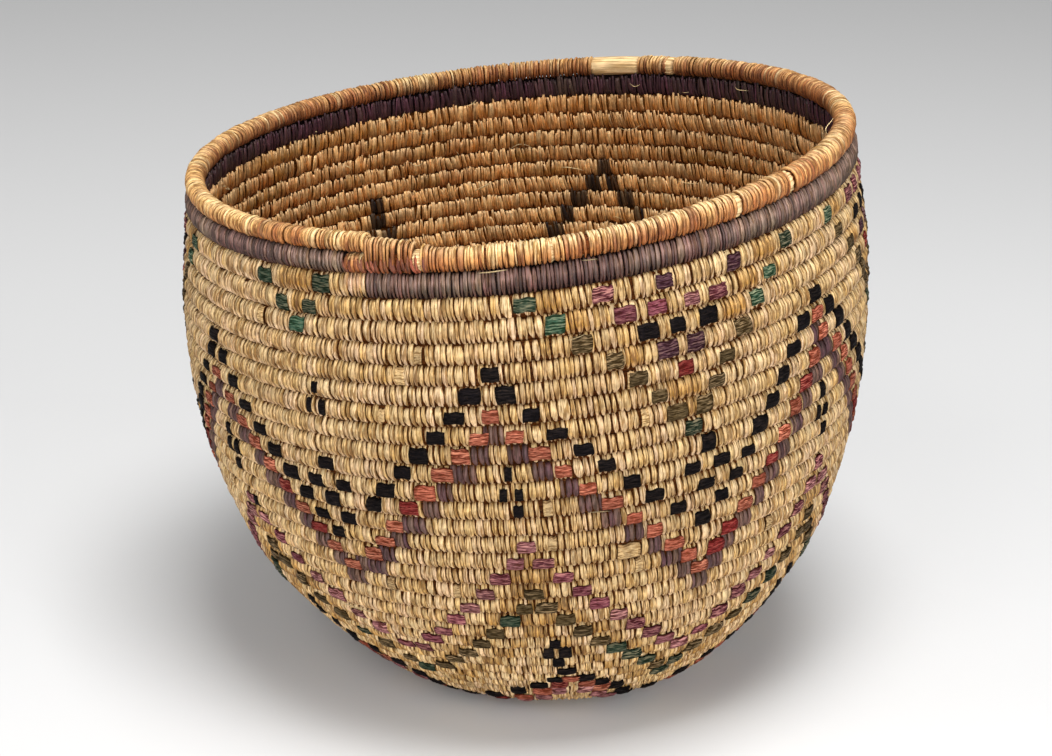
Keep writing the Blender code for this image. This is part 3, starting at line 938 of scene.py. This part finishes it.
def buildTurn(turn, outer, inner):
    # One turn: its bundle, its stitches outside and inside, and the strips and worn spots on it.
    name, isPurple = nodeOfTurn(turn), turn == rimTurn - 1
    start, stop = (turn, turn + 1) if turn >= 0 else (spiral["knotStart"], 0)
    (outerTurns, outerWidths, outerDyes), (innerTurns, innerWidths, innerDyes) = (
        [column[(turns[0] >= start) & (turns[0] < stop)] for column in turns] for turns in (outer, inner)
    )
    outside = sew("outside", outerStitch, outerTurns, outerWidths, outerPath,
                  purpleSewing if isPurple else outerSewing, outerDyes, 100 + turn, underStrips(outerTurns))
    # The inner tones: a painted highlight on the tips, weaker in the upper rows, which lie in the rim's
    # shade, and weaker or stronger at random; and the painted shadow on the lower ends.
    (tip, span, share), shadow = innerSewing["tones"]
    share = share * (1 - 0.5 * np.clip((turn - 28) / 8, 0, 1))
    chance = np.random.default_rng(900 + turn)
    share = share * chance.uniform(0.35, 1.45, (len(innerTurns), 1, 1)).clip(0, 1.05)
    tipHighlights = dict(innerSewing, tones=((tip, span, share), shadow))
    inside = sew("inside", innerStitch, innerTurns, innerWidths, innerPath,
                 innerPurpleSewing if isPurple else tipHighlights, innerDyes, 300 + turn)
    outerMaterial = purpleSplint if isPurple else strawSplint
    slot = "purple_coil" if isPurple else "straw_coil"
    addPiece(f"stitches_{name}", [outside, inside], [outerMaterial, innerSplint], [name])
    steps = int(np.clip(80 * metresAround(turn + 0.5) / (2 * math.pi * 0.12), 24, 96))
    grass = bundle(name, start, stop, steps=steps, dye="innerBlack" if isPurple else "stemShade")
    addPiece(f"bundle_{name}", [grass], [grassBundle])
    spots = [(*spot, "straw") for spot in bareSpots]
    for kind, patches, seed, form, material, slot in (
        ("strips", stripList, 500, stripForm, dyedStrip, "purple_coil"),
        ("bare", spots, 700, bareStripForm, strawSplint, "bare_grass"),
    ):
        patches = [patch for patch in patches if start <= patch[0] < stop]
        if patches:
            addPiece(f"{kind}_{name}", [layStrips(name, patches, seed + turn, form)], [material])


knotForm = {
    "stitches": 15,  # above, and as many below
    "height": 0.0041,
    "button": 0.0035,  # the button under the stitches
    "overlap": 0.0016,
    "blend": 0.10,
    "crown": 0.0004,
    "leastWidth": 0.0004,
}


def knotEdge(part):
    # How far the knot reaches from the middle of the base, for a part of the first turn.
    reach = grooveAt(-1 + np.clip(part, 0, 1))
    late = np.clip((part - 1 + knotForm["blend"]) / knotForm["blend"], 0, 1)
    early = np.clip(1 - part / knotForm["blend"], 0, 1)
    middle = grooveAt(-0.5)
    return reach + (middle - reach) * np.maximum(late, early) + knotForm["overlap"]


def buildKnot():
    # The tight button in the middle of the base, which the first turn is wound round, and stitches over it.
    bm = bmesh.new()
    bmesh.ops.create_uvsphere(bm, u_segments=32, v_segments=12, radius=1.0)
    button = asShape(bm)
    seam, (shiftX, shiftY) = math.radians(spiral["seamDegrees"]), spiral["baseShift"]

    def inBase(reach, angle, aside, height):
        x = reach * np.cos(angle) - aside * np.sin(angle) + shiftX
        return np.stack([x, reach * np.sin(angle) + aside * np.cos(angle) + shiftY,
                         spiral["thickness"] / 2 + height], axis=-1)

    x, y, z = axesOf(button)
    angle = np.arctan2(y, x)
    reach = np.hypot(x, y) ** 0.6 * knotEdge(((angle - seam) / (2 * math.pi)) % 1)
    places = inBase(reach, angle, 0 * reach, knotForm["button"] * z)
    uv = np.stack([angle * 4, reach * 1000], -1)
    middle = copiesAsMesh("middle", button, places, dyes["tanStraw"], plainLie(x), uv)

    chance = np.random.default_rng(31)
    count = knotForm["stitches"]
    part = (np.arange(2 * count) % count + chance.uniform(0, 0.3, 2 * count)) / count
    side, crown, along = axesOf(shortStitch)
    side, crown = side / side.max(), crown * 2
    angle = seam + 2 * math.pi * part[:, None] + 0.5 * (along - 0.5) * chance.uniform(0.2, 1, (2 * count, 1))
    reach = knotForm["leastWidth"] + knotEdge(part)[:, None] * along
    aside = side * np.maximum(reach * math.pi / count, knotForm["leastWidth"])
    lift = np.where(crown > 0.5, 0, -knotForm["crown"]) - np.where(crown < -0.2, 0.001, 0) - 0.0012 * along**4
    height = (knotForm["height"] + lift) * np.where(np.arange(2 * count) < count, 1, -1)[:, None]
    tint = np.concatenate([innerColours(part[:count], 32), strawColours(part[count:], 33)])
    uv = grainMap(chance, aside * 1000, reach * 1000)
    lie = np.stack(np.broadcast_arrays(side, along, 0 * reach), -1)
    fan = copiesAsMesh("fan", shortStitch, inBase(reach, angle, aside, height), tint[:, None, :], lie, uv)
    addPiece("knot_middle", [middle, fan], [grassBundle, strawSplint])


def buildWall():
    # the black strips show on the inside too, but not in the top rows
    darkInside = [(turn, width, "innerBlack") for turn, width, dye in stripList
                  if dye == "black" and turn < 32]
    outer, inner = [], []
    for start, stop, seed in ((spiral["knotStart"], rimTurn - 1, 41), (rimTurn - 1, rimTurn, 43)):
        isPurple = stop == rimTurn
        setting = purpleSewing if isPurple else outerSewing
        turns, widths = placesAlong(start, stop, setting["width"], setting["spread"], seed)
        if isPurple:
            tint = purpleColours(turns, seed)
        else:
            tint = dyeStitches(turns, strawColours(turns, seed), dyedStitchList)
        outer.append((turns, widths, tint))
        turns, widths = placesAlong(start, stop, innerSewing["width"], innerSewing["spread"], seed + 1)
        if isPurple:
            tint = purpleColours(turns, seed + 1, inside=True)
        else:
            tint = dyeStitches(turns, innerColours(turns, seed + 1), darkInside)
        inner.append((turns, widths, tint))
    outer, inner = ([np.concatenate(column) for column in zip(*rows)] for rows in (outer, inner))
    kept = np.ones(len(outer[0]), bool)
    for turn, width in bareSpots:
        kept &= ~inZone(outer[0], turn, width)
    outer = [column[kept] for column in outer]
    for turn in range(-1, rimTurn):
        buildTurn(turn, outer, inner)
    print(f"wall sewn: {len(outer[0])} stitches outside, {len(inner[0])} inside, {len(stripList)} strips")


buildKnot()
buildWall()

rimForm = {
    "windows": ((0.4875, 0.4925), (0.508, 0.535)),  # where the stitches are worn away, as parts of the turn
    # small bare spots, and their widths in metres
    "spots": ((0.0335, 0.0026), (0.0910, 0.0012), (0.1050, 0.0011), (0.1797, 0.0030), (0.2167, 0.0036)),
    "topHighlight": (0.11, 0.08),  # middle and half length of the stretch where the painted highlight on the top is strongest, as parts of the turn
    "overTail": 70,  # degrees where the stitches start that go over the tail's short row
    "tailSpacing": 0.0021,  # between the stitches of that row, as part of the turn
}


def isBare(turns):
    # Where the rim's stitches are worn away.
    part = turns - rimTurn
    bare = np.zeros(np.shape(turns))
    for low, high in rimForm["windows"]:
        bare[(part > low) & (part < high)] = 1
    for place, width in rimForm["spots"]:
        bare[np.abs(part - place) * metresAround(turns) < width / 2] = 1
    return bare


def startsAt(turns):
    # The angle round the coil where each rim stitch starts. Over the tail's short row they start half-way up.
    chance = np.random.default_rng(57)
    part = (turns - rimTurn) / spiral["tailLength"]
    over = (turns > rimTurn + rimSewing["joinFrom"]) & (part < 0.97)
    half = rimForm["overTail"] + 8 * part + chance.normal(0, 6, len(turns))
    back = np.interp(part, (0.86, 0.98), (0, 1))  # they go back down to the groove at the tail's thin end
    return np.where(over, back * (rimSewing["from"] - half) + half, rimSewing["from"])


def buildRim():
    end = rimTurn + 1 + rimSewing["joinFrom"]
    turns, widths = placesAlong(rimTurn, end, rimSewing["width"], rimSewing["spread"], 51)
    along = turns - rimTurn
    colours = rimColours(turns, 52)
    bare = isBare(turns) > 0.5
    # the painted highlight on the top is strongest right of the middle in front, and comes in patches
    # elsewhere
    middle, half = rimForm["topHighlight"]
    near = np.clip(1.4 - np.abs(along - middle) / half, 0, 1)
    topHighlight = 0.40 * wander(turns * 40, 58) + 0.10 + 0.6 * near
    edges = [0.0, *(edge for window in rimForm["windows"] for edge in window), 1.1]
    for place, low, high in zip(("right", "bridge", "left"), edges[::2], edges[1::2]):
        chosen = (along >= low) & (along < high) & ~bare
        starts = startsAt(turns)
        isHalf = starts > 45
        meshes = []
        for part, setting in ((chosen & ~isHalf, rimSewing), (chosen & isHalf, overTailSewing)):
            if part.any():
                setting = dict(setting)
                setting["from"] = starts[part][:, None]
                (tip, span, share), *others = setting["tones"]
                setting["tones"] = ((tip, span, share * topHighlight[part][:, None, None]), *others)
                meshes.append(sew(place, overStitch, turns[part], widths[part], overPath, setting,
                                  colours[part], 53))
        replaced = [f"rim_wrap_{place}"] + (["rim_tail"] if place == "right" else [])
        addPiece(f"stitches_rim_{place}", meshes, [rimSplint] * len(meshes), replaced)
    # a second, shorter row of stitches holds the tail down
    held = rimTurn + np.arange(0.0012, spiral["tailLength"], rimForm["tailSpacing"])
    chance = np.random.default_rng(54)
    held += chance.normal(0, 0.0003, len(held))
    tints = blend(rimColours(held, 55), "darkRusset", 0.88)
    dyeSome(tints, chance, 0.35, "rust", 0.6)
    tints[:, :3] *= chance.uniform(0.6, 1.5, (len(held), 1))
    short = dict(tailSewing, to=(tailSewing["to"] + chance.normal(0, 8, len(held)))[:, None])
    wide = np.full(len(held), tailSewing["width"])
    lower = sew("tail", shortStitch, held, wide, overPath, short, tints, 56, -0.0001)
    addPiece("stitches_rim_tail", [lower], [rimSplint])
    stems = bundle("rim", rimTurn, rimTurn + 1, over=True, sides=24, steps=520, pale=isBare, dye="rimStemShade")
    addPiece("stems_rim", [stems], [bareStems], ["rim_stems"])
    print(f"rim wrapped: {len(turns)} stitches")


buildRim()


# Loose fibres

fibreForm = {
    "width": (0.0003, 0.0006),
    "reach": 27,  # turns down from the rim
    # count, spread of the curl, how far they stand off and how high on a coil they start at most, brightness
    "inside": {"count": 150, "curl": 0.18, "stand": 0.0035, "top": 0.007, "bright": 1.0},
    "outside": {"count": 45, "curl": 0.05, "stand": 0.0012, "top": 0.001, "bright": 0.6},
    # turn, height on the coil, side, metres along, metres up, how far it stands off, and its thickness
    "known": (
        (37.295, 0.003, "inside", 0.003, 0.008, 0.0035, 0.0005),
        (36.20, 0.004, "inside", 0.008, 0.004, 0.004, 0.0005),
        (30.60, 0.004, "inside", -0.010, 0.004, 0.004, 0.0008),
        (31.55, 0.003, "inside", 0.012, 0.002, 0.003, 0.0006),
        (37.066, 0.0002, "outside", 0.011, 0.0004, 0.0008, 0.0006),
        (37.106, 0.0004, "outside", 0.006, -0.0004, 0.001, 0.0005),
    ),
}


def layFibres(side, fibres, seed):
    # Thin curved hairs of grass on the inside or the outside of the coils, standing off in the middle.
    chance, form = np.random.default_rng(seed), fibreForm[side]
    shape = straightRod(3, 7)
    turn, rise, away, up, lift, width = (np.array(column, float)[:, None] for column in fibres)
    x, y, t = axesOf(shape)
    count = len(turn)
    curl = chance.normal(0, form["curl"], (count, 1))
    taper = width * (1 - 0.75 * np.abs(2 * t - 1) ** 2)
    along, arc = away * (t - 0.5), np.sin(math.pi * t)
    stand = lift * arc ** 1.3 - 0.0002
    height = rise + up * t + curl * away * arc + y * taper
    off = stand + x * taper
    depth = spiral["thickness"] + off - 0.0003 if side == "inside" else -off + 0.0002
    tint = blend(dyes["cream"], "bareStem", 0.5) * chance.uniform(0.55, 1.1, (count, 1, 1)) * form["bright"]
    uv = np.stack([x + 0 * along, along * 1000], -1)
    places = intoPlace(turn + along / metresAround(turn), height, depth)
    mesh = copiesAsMesh(side, shape, places, tint, plainLie(along), uv)
    addPiece(f"fibres_{side}", [mesh], [looseFibre])


def buildFibres():
    chance = np.random.default_rng(71)
    for side, seed in (("inside", 72), ("outside", 73)):
        form = fibreForm[side]
        count = form["count"]
        turns = rimTurn - fibreForm["reach"] * chance.uniform(0, 1, count) ** 1.3
        fibres = [turns, chance.uniform(-0.001, form["top"], count), chance.normal(0, 0.007, count),
                  chance.normal(0, 0.0022, count), form["stand"] * chance.uniform(0.1, 1, count) ** 2,
                  chance.uniform(*fibreForm["width"], count)]
        known = [fibre[:2] + fibre[3:] for fibre in fibreForm["known"] if fibre[2] == side]
        fibres = [np.concatenate([column, more]) for column, more in zip(fibres, zip(*known))]
        layFibres(side, fibres, seed)
    print("loose fibres laid")


buildFibres()


# The studio

studio = {
    "target": (0.0114, -0.0019, 0.115),
    "elevation": 22.26,
    "distance": 1.0868,
    "roll": 1.55,
    "lens": 83.36,  # on a sensor 36 mm wide
    "shift": (-0.0219, 0.0163),
    "floorRadius": 6.0,
    "floorGrey": 0.63,
    "daylight": 0.26,
    "lamps": {  # place, size in metres, strength in watts
        "key": ((-0.8, -1.4, 1.7), 0.8, 9),
        "fill": ((1.4, -1.0, 0.8), 1.2, 12),
        "left": ((-1.5, -0.6, 0.7), 0.4, 3.5),
        "top": ((0.15, -0.38, 1.9), 0.8, 37),
        "low": ((0.0, -1.6, 0.16), 0.9, 25),
    },
    "lampsAim": (0, 0, 0.12),
}


def placeCamera():
    elevation, roll = math.radians(studio["elevation"]), math.radians(studio["roll"])
    forward = Vector((0, math.cos(elevation), -math.sin(elevation)))
    level = Vector((1, 0, 0))
    upright = level.cross(forward)
    right = level * math.cos(roll) + upright * math.sin(roll)
    up = upright * math.cos(roll) - level * math.sin(roll)
    lens = bpy.data.cameras.new("camera")
    lens.lens = studio["lens"]
    lens.sensor_width = 36
    lens.shift_x, lens.shift_y = studio["shift"]
    camera = intoScene("camera", lens)
    turned = Matrix((right, up, -forward)).transposed().to_4x4()
    camera.matrix_world = Matrix.Translation(Vector(studio["target"]) - studio["distance"] * forward) @ turned
    bpy.context.scene.camera = camera


def layFloor():
    bm = bmesh.new()
    bmesh.ops.create_circle(bm, cap_ends=True, segments=64, radius=studio["floorRadius"])
    mesh = bpy.data.meshes.new("floor")
    bm.to_mesh(mesh)
    bm.free()
    paint = bpy.data.materials.new("floor_paint")
    paint.use_nodes = True
    shader = paint.node_tree.nodes["Principled BSDF"]
    shader.inputs["Base Color"].default_value = (*[studio["floorGrey"]] * 3, 1)
    shader.inputs["Roughness"].default_value = 0.9
    mesh.materials.append(paint)
    floor = intoScene("floor", mesh)


def hangLamps():
    for name, (place, size, power) in studio["lamps"].items():
        lamp = bpy.data.lights.new(name, "AREA")
        lamp.size = size
        lamp.energy = power
        hung = intoScene(name, lamp)
        aim = Vector(studio["lampsAim"]) - Vector(place)
        hung.matrix_world = Matrix.Translation(place) @ aim.to_track_quat("-Z", "Y").to_matrix().to_4x4()
    world = bpy.data.worlds.new("studio")
    world.use_nodes = True
    sky = world.node_tree.nodes["Background"]
    sky.inputs["Color"].default_value = (1, 1, 1, 1)
    sky.inputs["Strength"].default_value = studio["daylight"]
    bpy.context.scene.world = world
    bpy.context.scene.view_settings.view_transform = "Standard"


placeCamera()
layFloor()
hangLamps()
print("studio ready")
